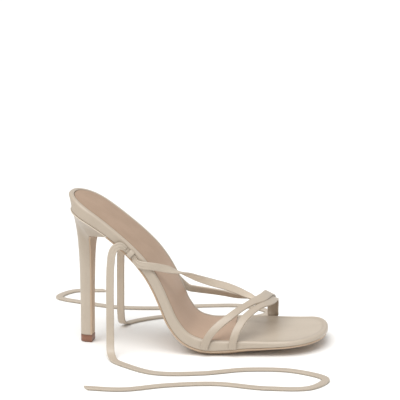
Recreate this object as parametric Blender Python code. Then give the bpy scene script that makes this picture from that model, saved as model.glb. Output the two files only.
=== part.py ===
"""Right high heel sandal: wrapped footbed on a slim heel, two toe straps and a long flat tie.

Built in millimetres with the heel tip at the start and the toe along +X, the lateral side
along -Y and the floor at z = 0, then moved so that the shoe stands over the origin in metres.
"""
import math

import bmesh
import bpy
import numpy as np

# Sizes of the shoe, in millimetres
MM = 0.001
GAP = 0.3
HEEL_TURN = 8.0
TOP_PIECE_TALL = 5.7

RIM_ROUND = 2.2
RIM_UNDER_ROUND = 0.7
RECESS_DEEP = 1.2
RECESS_INSET = 3.4
SOCK_THICK = 0.8
SOCK_FRONT_X = 117.0
OUTSOLE_THICK = 1.6
OUTSOLE_INSET = 1.0
SEAT_INSET = 0.4
EDGE_CURVE = ((0.86, 0.35), (0.66, 0.0))
END_PULL = 10.0
BREAST_X = 27.0
HEEL_TUCK = 7.0
HEEL_TUCK_LONG = 24.0
BREAST_COVER_THICK = 0.9
BREAST_COVER_TOP = 0.966

HEEL_END_LONG = 27.0
HEEL_END_POWER = 2.15
TOE_APEX_ASIDE = 9.0
TOE_LATERAL_LONG = 38.0
TOE_MEDIAL_LONG = 14.0
TOE_POWER = 2.3

STRAP_WIDE = 6.0
STRAP_THICK = 1.6
STRAP_LIFT = 1.0
LAST_CREST = 0.36
LAST_POWER_LATERAL = 1.7
LAST_POWER_MEDIAL = 2.6
TIE_WIDE = 6.0
TIE_THICK = 1.5
KEEPER_X = 45.2
KEEPER_WIDE = 3.0
KEEPER_THICK = 1.0
KEEPER_UP = 0.9
KEEPER_DOWN = 1.9
TIE_GATHERED = 2.8
TIE_GATHER_RUN = 7.0
TIE_BEHIND = 3.4
TIE_TWIST = 180.0
CORNER = 0.35

# Centre line of the footbed's top and its sections from heel to toe.
# turn is the section's swing toward the lateral side in degrees, thick is measured in its
# middle, and lift is how far the sole's edges curve up from there.
FOOTBED_COLUMNS = ("x", "y", "z", "turn", "wide", "thick", "lift")
FOOTBED = (
    (-11.2, 1.6, 122.1, 8.0, 51.0, 9.4, 0.0),
    (2.0, -0.3, 115.0, 8.0, 52.0, 9.3, 0.0),
    (14.0, -2.0, 107.4, 8.0, 53.0, 8.5, 0.0),
    (28.0, -3.8, 97.0, 8.0, 54.0, 7.3, 0.0),
    (42.0, -5.0, 85.2, 8.5, 54.0, 7.2, 0.0),
    (52.0, -5.6, 75.0, 8.5, 54.5, 7.4, 0.0),
    (60.0, -5.6, 63.8, 8.0, 56.0, 7.2, 0.0),
    (66.0, -5.2, 52.6, 7.5, 58.0, 7.1, 0.0),
    (71.0, -4.4, 40.6, 6.5, 61.0, 7.3, 0.2),
    (77.0, -3.2, 27.0, 5.0, 65.0, 8.4, 0.8),
    (85.0, -1.6, 17.0, 3.5, 69.0, 9.8, 1.8),
    (95.0, -0.2, 12.9, 2.0, 73.0, 10.7, 2.6),
    (108.0, 0.8, 12.2, 1.0, 75.0, 10.6, 3.1),
    (125.0, 1.6, 12.4, 0.0, 76.0, 8.7, 2.8),
    (145.0, 2.2, 12.0, 0.0, 75.0, 6.4, 1.8),
    (165.0, 2.6, 12.2, 0.0, 72.0, 4.6, 0.9),
    (189.0, 3.0, 13.5, 0.0, 68.0, 4.2, 0.6),
)

# Heel sections from the tip (level 0) to just under the seat (level 1).
# back and front are measured along the heel from its axis, half is half its width.
HEEL_COLUMNS = ("level", "back", "front", "half")
HEEL = (
    (0.00, -5.2, 3.5, 5.0),
    (0.35, -5.3, 3.8, 5.3),
    (0.62, -5.9, 4.2, 6.2),
    (0.78, -7.1, 4.5, 7.6),
    (0.87, -8.3, 4.9, 10.0),
    (0.93, -9.2, 5.6, 13.8),
    (0.97, -9.9, 7.2, 18.4),
)

# Height of the last over the footbed, from behind the ball to the toe
LAST_COLUMNS = ("x", "tall")
LAST = (
    (88.0, 45.0),
    (104.0, 38.4),
    (116.0, 33.3),
    (125.0, 29.2),
    (135.0, 25.1),
    (141.0, 21.8),
    (146.0, 18.3),
    (160.0, 15.2),
    (186.0, 11.3),
)

# Routes of the toe straps over the last. across runs from -1 at the lateral edge of the
# footbed to +1 at the medial one, and past those down the side of the rim.
STRAP_COLUMNS = ("x", "across")
REAR_STRAP = (
    (96.6, -1.86),
    (96.8, -1.35),
    (97.4, -1.00),
    (99.2, -0.985),
    (102.2, -0.95),
    (106.9, -0.88),
    (114.2, -0.75),
    (121.6, -0.55),
    (129.0, -0.30),
    (136.4, 0.00),
    (138.9, 0.20),
    (140.1, 0.36),
    (141.7, 0.60),
    (143.4, 0.88),
    (144.0, 1.00),
    (144.3, 1.35),
    (144.3, 1.86),
)
FRONT_STRAP = (
    (116.5, -1.86),
    (116.7, -1.35),
    (117.0, -1.00),
    (117.8, -0.985),
    (119.0, -0.95),
    (121.0, -0.88),
    (124.2, -0.75),
    (129.4, -0.55),
    (135.2, -0.30),
    (141.0, 0.00),
    (143.6, 0.20),
    (144.9, 0.36),
    (145.7, 0.60),
    (145.7, 0.88),
    (145.6, 1.00),
    (145.5, 1.35),
    (145.5, 1.86),
)

# The tie's free runs between the keepers and the toe straps. roll turns its flat side:
# 0 faces up, -90 faces the lateral side and +90 the medial side, and past 180 it is turned over.
TIE_COLUMNS = ("x", "y", "z", "roll")
TIE_OVER_VAMP = (
    (42.2, -33.4, 73.0, -90.0),
    (45.7, -33.7, 70.9, -90.0),
    (49.6, -34.1, 70.4, -88.0),
    (55.9, -33.0, 69.4, -82.0),
    (62.8, -30.2, 67.5, -68.0),
    (67.8, -27.8, 65.8, -48.0),
    (72.1, -25.0, 63.9, -20.0),
    (76.9, -21.8, 62.0, 14.0),
    (82.0, -18.2, 59.5, 44.0),
    (87.3, -14.0, 56.3, 67.0),
    (93.9, -9.0, 52.8, 86.0),
    (100.5, -4.6, 49.7, 96.0),
    (110.0, 1.0, 45.6, 106.0),
    (118.2, 5.4, 41.2, 118.0),
    (125.8, 8.4, 36.9, 138.0),
    (131.8, 10.2, 34.2, 164.0),
    (136.2, 15.2, 33.0, 180.0),
    (132.0, 20.4, 32.4, 196.0),
    (124.8, 21.8, 31.8, 212.0),
    (117.5, 22.0, 32.4, 226.0),
    (106.0, 23.2, 34.3, 240.0),
    (92.8, 28.0, 34.8, 250.0),
    (84.0, 31.5, 34.9, 255.0),
    (77.3, 34.2, 35.4, 260.0),
    (70.5, 34.0, 41.0, 264.0),
    (64.0, 31.6, 50.4, 268.0),
    (57.5, 28.0, 62.4, 270.0),
)

# Free ends of the tie, from the keeper's exit down to the floor and loosely along it
END_COLUMNS = ("x", "y", "z", "roll")
LATERAL_END = (
    (30.6, -33.6, 85.4, -90.0),
    (27.0, -34.6, 84.6, -90.0),
    (24.4, -35.6, 80.2, -90.0),
    (23.2, -36.4, 72.0, -90.0),
    (22.6, -37.4, 55.0, -88.0),
    (22.6, -38.6, 34.0, -84.0),
    (22.8, -40.8, 14.0, -72.0),
    (23.6, -46.0, 4.6, -42.0),
    (27.0, -54.5, 1.0, -8.0),
    (38.0, -67.0, 0.8, 0.0),
    (60.0, -83.0, 0.8, 0.0),
    (94.0, -82.0, 0.8, 0.0),
    (130.0, -70.0, 0.8, 0.0),
    (166.0, -72.0, 0.8, 0.0),
    (188.0, -90.0, 0.8, 0.0),
    (178.0, -110.0, 0.8, 0.0),
    (146.0, -114.0, 0.8, 0.0),
    (108.0, -106.0, 0.8, 0.0),
    (72.0, -112.0, 0.8, 0.0),
    (40.0, -124.0, 0.8, 0.0),
    (14.0, -122.0, 0.8, 0.0),
)
MEDIAL_END = (
    (38.6, 24.2, 86.2, 90.0),
    (33.6, 25.4, 87.8, 90.0),
    (28.4, 26.6, 85.8, 90.0),
    (25.2, 27.4, 79.0, 90.0),
    (24.0, 28.2, 70.0, 90.0),
    (23.4, 29.0, 56.0, 88.0),
    (23.0, 30.6, 32.0, 84.0),
    (22.8, 32.8, 14.0, 72.0),
    (23.2, 38.0, 4.6, 42.0),
    (26.6, 47.0, 1.0, 8.0),
    (40.0, 60.0, 0.8, 0.0),
    (64.0, 71.0, 0.8, 0.0),
    (94.0, 66.0, 0.8, 0.0),
    (122.0, 68.0, 0.8, 0.0),
    (140.0, 86.0, 0.8, 0.0),
    (122.0, 104.0, 0.8, 0.0),
    (88.0, 104.0, 0.8, 0.0),
    (50.0, 94.0, 0.8, 0.0),
    (14.0, 94.0, 0.8, 0.0),
    (-16.0, 106.0, 0.8, 0.0),
    (-40.0, 122.0, 0.8, 0.0),
    (-30.0, 142.0, 0.8, 0.0),
    (-4.0, 146.0, 0.8, 0.0),
)

# Colours of the pieces: red, green, blue, roughness
CREAM = (0.66, 0.57, 0.46, 0.42)
SOCK_TAN = (0.48, 0.34, 0.23, 0.55)
SOLE_TAN = (0.70, 0.48, 0.32, 0.50)
TIP_BROWN = (0.25, 0.11, 0.06, 0.45)


def column(table, names, name):
    """One named column of a table as an array."""
    return np.array([row[names.index(name)] for row in table], float)


def spline(knots, values, at):
    """Smooth curve through values at knots, read at the places in at."""
    knots, values, at = np.asarray(knots), np.asarray(values), np.asarray(at, float)
    slopes = np.gradient(values, knots)
    place = np.clip(np.searchsorted(knots, at) - 1, 0, len(knots) - 2)
    span = knots[place + 1] - knots[place]
    t = (at - knots[place]) / span
    h00 = 2 * t**3 - 3 * t**2 + 1
    h10 = t**3 - 2 * t**2 + t
    h01 = 3 * t**2 - 2 * t**3
    h11 = t**3 - t**2
    ends = h00 * values[place] + h01 * values[place + 1]
    return ends + span * (h10 * slopes[place] + h11 * slopes[place + 1])


def along(points):
    """Distance along a line of points from its start."""
    steps = np.linalg.norm(np.diff(points, axis=0), axis=1)
    return np.concatenate([[0.0], np.cumsum(steps)])


def unit(vectors):
    """Vectors scaled to length one."""
    return vectors / np.linalg.norm(vectors, axis=-1, keepdims=True)


class Footbed:
    """Maps (distance from heel to toe, across, out of the top) to the shoe's space."""

    FINE = 600

    def __init__(self):
        rows = np.stack([column(FOOTBED, FOOTBED_COLUMNS, n) for n in FOOTBED_COLUMNS], 1)
        knots = along(rows[:, :3])
        fine = np.linspace(0.0, knots[-1], self.FINE)
        values = np.stack([spline(knots, rows[:, k], fine) for k in range(rows.shape[1])], 1)
        self.far = along(values[:, :3])
        self.values = values
        self.long = self.far[-1]
        fall = np.gradient(values[:, 2], self.far)
        run = np.gradient(values[:, 0], self.far)
        self.slope = np.arctan2(-fall, run)

    def read(self, name, s):
        """A column of the footbed's table at distance s."""
        return np.interp(s, self.far, self.values[:, FOOTBED_COLUMNS.index(name)])

    def at_x(self, x):
        """Distance along the centre line at which it passes x."""
        return np.interp(x, self.values[:, 0], self.far)

    def axes(self, s):
        """Forward, sideways (medial) and upward directions of the section at s."""
        turn = np.radians(self.read("turn", s))
        slope = np.interp(s, self.far, self.slope)
        level = np.zeros_like(turn)
        ahead = np.stack([np.cos(turn), -np.sin(turn), level], -1)
        side = np.stack([np.sin(turn), np.cos(turn), level], -1)
        up = ahead * np.sin(slope)[..., None]
        up[..., 2] = np.cos(slope)
        return ahead, side, up

    def point(self, s, across, out):
        """Place in the shoe's space."""
        s = np.asarray(s, float)
        inside = np.clip(s, 0.0, self.long)
        centre = np.stack([self.read(n, inside) for n in ("x", "y", "z")], -1)
        _, side, up = self.axes(inside)
        tail = np.stack([np.cos(self.end_slope(s)), 0 * s, -np.sin(self.end_slope(s))], -1)
        centre = centre + tail * (s - inside)[..., None]
        return centre + side * np.asarray(across)[..., None] + up * np.asarray(out)[..., None]

    def end_slope(self, s):
        """Slope of the centre line, kept past its ends."""
        return np.interp(s, self.far, self.slope)


def rounded_end(distance, length, power):
    """Share of the full half width at a distance from a rounded end."""
    t = np.clip(distance / length, 0.0, 1.0)
    return (1.0 - (1.0 - t) ** power) ** (1.0 / power)


def edge(bed, s, side):
    """Across position of the footbed's outer edge, side -1 lateral or +1 medial."""
    half = bed.read("wide", s) / 2
    toe_long = TOE_LATERAL_LONG if side < 0 else TOE_MEDIAL_LONG
    heel = rounded_end(s, HEEL_END_LONG, HEEL_END_POWER)
    toe = rounded_end(bed.long - s, toe_long, TOE_POWER)
    apex = np.where(s > bed.long / 2, TOE_APEX_ASIDE, 0.0)
    return apex + (side * half - apex) * heel * toe


def stations(bed, count=60):
    """Rows from heel to toe, closer at the round ends, with rows at the breast and sock's front."""
    t = np.arange(count + 1) / count
    s = bed.long * (0.5 * t + 0.25 * (1 - np.cos(np.pi * t)))
    front = bed.at_x(SOCK_FRONT_X)
    breast = bed.at_x(BREAST_X)
    kept = s[(abs(s - front) > 1.5) & (abs(s - breast) > 1.2)]
    return np.sort(np.concatenate([kept, [front - GAP, front + GAP, breast, breast + GAP]]))


def outline(bed, s, inset):
    """Closed outline of the footbed set in by a distance: lateral rows, then medial back again."""
    rows = np.concatenate([s, s[-2:0:-1]])
    across = np.concatenate([edge(bed, s, -1), edge(bed, s[-2:0:-1], 1)])
    loop = np.stack([rows, across], -1)
    way = unit(np.roll(loop, -1, 0) - np.roll(loop, 1, 0))
    inward = np.stack([-way[:, 1], way[:, 0]], -1)
    return loop + inward * inset


def drawn_in(bed, loop, share):
    """An outline drawn in toward the footbed's middle, to a share of its width."""
    half = bed.long / 2
    pull = END_PULL * (1 - share) / (1 - EDGE_CURVE[-1][0])
    rows = half + (loop[:, 0] - half) * (1 - pull / half)
    return np.stack([rows, loop[:, 1] * share], -1)


def tucked(loop):
    """An outline with its heel end drawn forward, where the rim leans out over the heel."""
    draw = HEEL_TUCK * np.clip(1.0 - loop[:, 0] / HEEL_TUCK_LONG, 0.0, 1.0) ** 2
    return np.stack([loop[:, 0] + draw, loop[:, 1]], -1)


def underside(bed, loop, lifted, down):
    """Points of a loop under the footbed, with a share of the edges' lift and lowered."""
    loop = tucked(loop)
    rows = np.clip(loop[:, 0], 0.0, bed.long)
    fall = bed.read("thick", rows) - lifted * bed.read("lift", rows) + down
    return bed.point(loop[:, 0], loop[:, 1], -fall)


def strip_rows(count):
    """Pairs of loop places that face each other across a closed outline of count rows."""
    total = 2 * (count - 1)
    return [(j, (total - j) % total) for j in range(count)]


def cap(pairs, start, flip):
    """Faces that close a loop by strips between its facing places."""
    faces = []
    for (a, b), (c, d) in zip(pairs[:-1], pairs[1:]):
        ring = [start + k for k in (a, c, d, b)]
        face = [k for i, k in enumerate(ring) if k not in ring[:i]]
        if len(face) > 2:
            faces.append(face[::-1] if flip else face)
    return faces


def skin(loops, pairs):
    """Vertices and faces of a body whose stacked loops run from its top to its underside."""
    count = len(loops[0])
    points = np.concatenate(loops)
    faces = cap(pairs, 0, False)
    for level in range(len(loops) - 1):
        for k in range(count):
            after = (k + 1) % count
            upper, lower = level * count, (level + 1) * count
            faces.append([upper + after, upper + k, lower + k, lower + after])
    faces += cap(pairs, (len(loops) - 1) * count, True)
    return points, faces


def footbed_body(bed):
    """Wrapped footbed with a rounded rim and a shallow recess for the sock."""
    s = stations(bed)
    front = bed.at_x(SOCK_FRONT_X)
    loops = []

    def add(inset, fall):
        loop = outline(bed, s, inset)
        loops.append(bed.point(loop[:, 0], loop[:, 1], -fall(loop[:, 0])))

    def recess(rows):
        return np.where(rows < front, RECESS_DEEP, 0.0)

    add(RECESS_INSET + 0.4, recess)
    add(RECESS_INSET, lambda rows: 0.0 * rows)
    for degrees in (90, 66, 42, 20, 0):
        a = math.radians(degrees)
        fall = RIM_ROUND * (1 - math.sin(a))
        add(RIM_ROUND * (1 - math.cos(a)), lambda rows, fall=fall: fall + 0.0 * rows)
    for degrees in (0, 45, 90):
        a = math.radians(degrees)
        rise = RIM_UNDER_ROUND * (1 - math.sin(a))
        inset = RIM_UNDER_ROUND * (1 - math.cos(a))
        loops.append(underside(bed, outline(bed, s, inset), 1.0, -rise))
    for share, lifted in EDGE_CURVE:
        loops.append(underside(bed, drawn_in(bed, outline(bed, s, 0.0), share), lifted, 0.0))
    return skin(loops, strip_rows(len(s)))


def open_outline(bed, s, inset, keep):
    """Outline of part of the footbed: the rows of s where keep is true, cut straight across."""
    loop = outline(bed, s, inset)
    chosen = [pair for pair, kept in zip(strip_rows(len(s)), keep) if kept]
    lateral = [a for a, b in chosen]
    medial = [b for a, b in chosen if a != b]
    order = lateral + medial[::-1]
    place = {k: i for i, k in enumerate(order)}
    pairs = [(place[a], place[b]) for a, b in chosen]
    return loop[order], pairs


def sock_body(bed):
    """Thin sock lying in the footbed's recess."""
    s = stations(bed)
    keep = s < bed.at_x(SOCK_FRONT_X)
    loop, pairs = open_outline(bed, s, RECESS_INSET + 0.4 + GAP, keep)
    front = bed.at_x(SOCK_FRONT_X) - 2 * GAP
    rows = np.minimum(loop[:, 0], front)
    top = RECESS_DEEP - GAP - SOCK_THICK
    levels = (top, top + SOCK_THICK)
    return skin([bed.point(rows, loop[:, 1], -level + 0.0 * rows) for level in levels], pairs)


def outsole_body(bed):
    """Thin outsole under the arch and forefoot, worn flat where it meets the floor."""
    s = stations(bed)
    keep = s > bed.at_x(BREAST_X)
    full, pairs = open_outline(bed, s, 0.0, keep)
    inner = [(drawn_in(bed, full, share), lifted) for share, lifted in EDGE_CURVE]
    levels = [(loop, lifted, 0.0) for loop, lifted in inner[::-1]]
    for inset, down in ((0.0, 0.0), (0.0, OUTSOLE_THICK - 0.5), (0.7, OUTSOLE_THICK)):
        levels.append((open_outline(bed, s, OUTSOLE_INSET + inset, keep)[0], 1.0, down))
    levels += [(loop, lifted, OUTSOLE_THICK) for loop, lifted in inner]
    loops = []
    for loop, lifted, down in levels:
        points = underside(bed, loop, lifted, GAP + down)
        points[:, 2] = np.maximum(points[:, 2], (OUTSOLE_THICK - down) * 0.8)
        loops.append(points)
    return skin(loops, pairs)


def heel_frame():
    """Forward and medial directions of the heel on the floor."""
    turn = math.radians(HEEL_TURN)
    ahead = np.array([math.cos(turn), -math.sin(turn), 0.0])
    side = np.array([math.sin(turn), math.cos(turn), 0.0])
    return ahead, side


def heel_size(level):
    """Back, front and half width of the heel at a level."""
    levels = column(HEEL, HEEL_COLUMNS, "level")
    return [spline(levels, column(HEEL, HEEL_COLUMNS, n), level) for n in HEEL_COLUMNS[1:]]


def heel_levels():
    """Levels of the heel's sections, two to each step of its table."""
    levels = column(HEEL, HEEL_COLUMNS, "level")
    return np.sort(np.concatenate([levels, (levels[1:] + levels[:-1]) / 2]))


def seat_loop(bed):
    """Outline of the heel's top under the seat and its places on a unit section."""
    s = stations(bed)
    keep = s <= bed.at_x(BREAST_X) + 1e-6
    loop, pairs = open_outline(bed, s, SEAT_INSET, keep)
    top = underside(bed, loop, 0.0, GAP)
    low, high = loop[:, 0].min(), loop[:, 0].max()
    forward = (loop[:, 0] - low) / (high - low)
    across = loop[:, 1] / abs(loop[:, 1]).max()
    return top, forward, across, pairs


def heel_section(forward, across, level, z):
    """Points of the heel's section at a level, at heights z."""
    ahead, side = heel_frame()
    back, front, half = heel_size(level)
    u = back + (front - back) * forward
    points = u[:, None] * ahead + (half * across)[:, None] * side
    points[:, 2] = z
    return points


def heel_body(bed):
    """Slim heel that flares into the seat."""
    top, forward, across, pairs = seat_loop(bed)
    foot = TOP_PIECE_TALL + GAP
    loops = [top]
    for level in heel_levels()[::-1]:
        loops.append(heel_section(forward, across, level, foot + level * (top[:, 2] - foot)))
    return skin(loops, pairs)


def top_piece_body(bed):
    """Top piece under the heel and its breast cover."""
    _, forward, across, pairs = seat_loop(bed)
    ahead, _ = heel_frame()
    stretch = (GAP + BREAST_COVER_THICK) * forward
    loops = []
    for z in (TOP_PIECE_TALL, 0.0):
        loops.append(heel_section(forward, across, 0.0, z) + stretch[:, None] * ahead)
    return skin(loops, pairs)


def breast_cover_body(bed):
    """Thin cover down the heel's breast, from under the seat's lip to the top piece."""
    top, forward, _, _ = seat_loop(bed)
    ahead, side = heel_frame()
    foot = TOP_PIECE_TALL + GAP
    levels = np.append(heel_levels()[:-1], BREAST_COVER_TOP)
    _, front, half = heel_size(levels)
    tall = foot + levels * (top[forward > 0.999, 2].min() - foot)
    profile = np.stack([front, tall], -1)
    way = unit(np.gradient(profile, axis=0))
    out = np.stack([way[:, 1], -way[:, 0]], -1)
    near, far = GAP, GAP + BREAST_COVER_THICK
    rings = []
    for k in range(len(levels)):
        ring = []
        for distance, reach in ((near, -1), (near, 1), (far, 1), (far, -1)):
            u, z = profile[k] + out[k] * distance
            ring.append(ahead * u + side * half[k] * reach + np.array([0.0, 0.0, max(z, foot)]))
        rings.append(np.array(ring))
    return tube(rings)


def tube(rings):
    """Vertices and faces of a body through rings of the same number of points, closed at both ends."""
    count = len(rings[0])
    faces = [list(range(count))[::-1]]
    for level in range(len(rings) - 1):
        for k in range(count):
            after = (k + 1) % count
            a, b = level * count, (level + 1) * count
            faces.append([a + k, a + after, b + after, b + k])
    faces.append([(len(rings) - 1) * count + k for k in range(count)])
    return np.concatenate(rings), faces


def band(points, normals, wide, thick):
    """Flat strap along a line of points, its flat side facing the normals."""
    way = unit(np.gradient(points, axis=0))
    facing = unit(normals - way * np.sum(normals * way, 1, keepdims=True))
    broad = np.cross(way, facing)
    b, c = thick / 2, CORNER
    rings = []
    for p, w, n, a in zip(points, broad, facing, np.broadcast_to(wide, len(points)) / 2):
        corners = (
            (-a + c, -b), (a - c, -b), (a, -b + c), (a, b - c),
            (a - c, b), (-a + c, b), (-a, b - c), (-a, -b + c),
        )
        rings.append(np.array([p + w * u + n * v for u, v in corners]))
    return tube(rings)


def last_point(bed, x, across):
    """Place on the last over the footbed at x and across, with the direction out of it."""
    s = bed.at_x(x)
    half = bed.read("wide", s) / 2 + GAP
    tall = spline(column(LAST, LAST_COLUMNS, "x"), column(LAST, LAST_COLUMNS, "tall"), x)
    inside = np.clip(across, -1.0, 1.0)
    slope = np.sign(inside - LAST_CREST)
    reach = 1.0 - LAST_CREST * slope
    power = np.where(slope < 0, LAST_POWER_LATERAL, LAST_POWER_MEDIAL)
    t = abs(inside - LAST_CREST) / reach
    rise = (1.0 - t**power) ** (1.0 / power)
    drop = (abs(across) - abs(inside)) * (bed.read("thick", s) - bed.read("lift", s))
    place = bed.point(s, inside * half, tall * rise - drop)
    _, side, up = bed.axes(s)
    sideways = slope * t ** (power - 1) / (half * reach)
    upward = rise ** (power - 1) / tall
    out = unit(side * sideways[:, None] + up * upward[:, None])
    return place, out


def strap_body(bed, table, lift, count=44):
    """Toe strap laid on the last along a route. lift raises it past the last's crest."""
    x, across = (column(table, STRAP_COLUMNS, n) for n in STRAP_COLUMNS)
    place, out = last_point(bed, x, across)
    raised = lift * np.clip((across + 0.55) / 0.5, 0.0, 1.0)
    middle = place + out * (STRAP_THICK / 2 + raised)[:, None]
    knots = along(middle)
    fine = np.linspace(0.0, knots[-1], count)
    line = np.stack([spline(knots, middle[:, k], fine) for k in range(3)], 1)
    facing = np.stack([spline(knots, out[:, k], fine) for k in range(3)], 1)
    return band(line, facing, STRAP_WIDE, STRAP_THICK)


def rim_side(bed, x, side, out, down):
    """Place beside the rim at x: out from its side and down from its top."""
    s = np.asarray(bed.at_x(x), float)
    half = bed.read("wide", s) / 2
    return bed.point(s, side * (half + out), -np.asarray(down, float))


def keeper_body(bed, side):
    """Small bridge on the rim's side that the tie runs under."""
    thick = bed.read("thick", bed.at_x(KEEPER_X))
    clear = GAP + TIE_THICK + GAP + KEEPER_THICK / 2
    low, high = thick - KEEPER_UP, KEEPER_DOWN
    route = (
        (GAP, low), (clear - 0.5, low), (clear, low - 0.5),
        (clear, high + 0.5), (clear - 0.5, high), (GAP, high),
    )
    rings = []
    half_thick = KEEPER_THICK / 2
    for k, (out, down) in enumerate(route):
        before, after = route[max(k - 1, 0)], route[min(k + 1, len(route) - 1)]
        way = unit(np.array([after[0] - before[0], after[1] - before[1]]))
        turn = np.array([way[1], -way[0]])
        ring = []
        for x, d in ((-1, -1), (1, -1), (1, 1), (-1, 1)):
            place = np.array([out, down]) + turn * d * half_thick
            ring.append(rim_side(bed, KEEPER_X + x * KEEPER_WIDE / 2, side, place[0], place[1]))
        rings.append(np.array(ring))
    return tube(rings)


def route_points(rows, spacing):
    """Evenly spaced points and rolls of a smooth line through rows of x, y, z and roll."""
    rows = np.asarray(rows, float)
    knots = along(rows[:, :3])
    count = max(int(knots[-1] / spacing), 4)
    fine = np.linspace(0.0, knots[-1], count)
    values = np.stack([spline(knots, rows[:, k], fine) for k in range(4)], 1)
    return values[:, :3], values[:, 3]


def rolled(roll):
    """Direction that a flat side faces for its roll about the shoe's length."""
    a = np.radians(roll)
    return np.stack([0 * a, np.sin(a), np.cos(a)], -1)


def keeper_pass(bed, side, ahead, twist=0.0):
    """Rows of the tie beside the rim at distances ahead of the keeper's middle, twisted so far."""
    rows = []
    for x in ahead:
        down = (bed.read("thick", bed.at_x(KEEPER_X + x)) + KEEPER_DOWN - KEEPER_UP) / 2
        place = rim_side(bed, KEEPER_X + x, side, GAP + TIE_THICK / 2, down)
        rows.append((*place, side * 90.0 + twist))
    return rows


def gathered(points, keepers):
    """Width of the tie along its line, gathered where it passes the keepers."""
    apart = np.min([np.linalg.norm(points - np.array(k), axis=1) for k in keepers], 0)
    share = np.clip((apart - KEEPER_WIDE) / TIE_GATHER_RUN, 0.0, 1.0)
    return TIE_GATHERED + (TIE_WIDE - TIE_GATHERED) * share


def tie_front_body(bed):
    """The tie from the lateral keeper over the vamp and back to the medial keeper."""
    lateral = keeper_pass(bed, -1, (-TIE_BEHIND, -1.8, 0.0, 2.4))
    medial = keeper_pass(bed, 1, (2.4, 0.0, -1.8, -TIE_BEHIND), TIE_TWIST)
    points, roll = route_points(lateral + list(TIE_OVER_VAMP) + medial, 2.8)
    wide = gathered(points, (lateral[2][:3], medial[1][:3]))
    return band(points, rolled(roll), wide, TIE_THICK)


def tie_end_body(bed, table, side):
    """A free end of the tie, from behind its keeper to the floor and along it."""
    start = keeper_pass(bed, side, (-TIE_BEHIND - 2 * GAP,))
    points, roll = route_points(start + list(table), 5.0)
    points[:, 2] = np.maximum(points[:, 2], TIE_THICK / 2 + 0.05)
    roll = np.where(points[:, 2] < 1.2, 0.0, roll)
    keeper = keeper_pass(bed, side, (0.0,))[0]
    return band(points, rolled(roll), gathered(points, (keeper[:3],)), TIE_THICK)


def material(name, look):
    """Plain material of a piece."""
    made = bpy.data.materials.new(name)
    made.use_nodes = True
    shader = made.node_tree.nodes["Principled BSDF"]
    shader.inputs["Base Color"].default_value = (*look[:3], 1.0)
    shader.inputs["Roughness"].default_value = look[3]
    shader.inputs["Metallic"].default_value = 0.0
    return made


def body(name, shape, look, smooth):
    """Named object from vertices in millimetres and faces."""
    points, faces = shape
    mesh = bpy.data.meshes.new(name)
    mesh.from_pydata([tuple(p * MM) for p in points], [], faces)
    edit = bmesh.new()
    edit.from_mesh(mesh)
    bmesh.ops.recalc_face_normals(edit, faces=edit.faces)
    bmesh.ops.triangulate(edit, faces=[f for f in edit.faces if len(f.verts) > 4])
    edit.to_mesh(mesh)
    edit.free()
    mesh.polygons.foreach_set("use_smooth", [smooth] * len(mesh.polygons))
    made = bpy.data.objects.new(name, mesh)
    bpy.context.scene.collection.objects.link(made)
    mesh.materials.append(material(name, look))
    return made


def join(kept, added):
    """Joins a second solid to the kept one and removes it."""
    modifier = kept.modifiers.new("join", "BOOLEAN")
    modifier.operation = "UNION"
    modifier.solver = "EXACT"
    modifier.object = added
    graph = bpy.context.evaluated_depsgraph_get()
    joined = bpy.data.meshes.new_from_object(kept.evaluated_get(graph))
    kept.modifiers.clear()
    kept.data = joined
    bpy.data.objects.remove(added)


def stand_over_origin(shoe, everything):
    """Moves everything so that the shoe's box stands on the origin."""
    corners = np.array([tuple(v.co) for o in shoe for v in o.data.vertices])
    low, high = corners.min(0), corners.max(0)
    move = np.array([-(low[0] + high[0]) / 2, -(low[1] + high[1]) / 2, -low[2]])
    for made in everything:
        for vertex in made.data.vertices:
            vertex.co = np.array(vertex.co) + move
        made.data.update()


def main():
    for old in list(bpy.data.objects):
        bpy.data.objects.remove(old)
    bed = Footbed()
    upper = body("upper_straps", strap_body(bed, FRONT_STRAP, 0.0), CREAM, True)
    join(upper, body("rear_strap", strap_body(bed, REAR_STRAP, STRAP_LIFT), CREAM, True))
    shoe = [
        body("outsole", outsole_body(bed), SOLE_TAN, True),
        body("footbed", footbed_body(bed), CREAM, True),
        body("sock", sock_body(bed), SOCK_TAN, True),
        body("heel", heel_body(bed), CREAM, True),
        body("heel_breast_cover", breast_cover_body(bed), SOLE_TAN, False),
        body("heel_top_piece", top_piece_body(bed), TIP_BROWN, False),
        upper,
        body("keeper_lateral", keeper_body(bed, -1), CREAM, False),
        body("keeper_medial", keeper_body(bed, 1), CREAM, False),
        body("tie_front", tie_front_body(bed), CREAM, True),
    ]
    ends = [
        body("tie_end_lateral", tie_end_body(bed, LATERAL_END, -1), CREAM, True),
        body("tie_end_medial", tie_end_body(bed, MEDIAL_END, 1), CREAM, True),
    ]
    stand_over_origin(shoe, shoe + ends)


main()
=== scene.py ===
"""Looks of the right high heel sandal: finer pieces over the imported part, materials, light and camera.

Sizes are in millimetres in the shoe's own space, with the heel tip at the start, the toe along +X
and the lateral side along -Y, and are moved to the part's frame in metres as meshes are made.
"""

import math

import bpy
import numpy as np
from mathutils import Matrix, Vector


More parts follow.
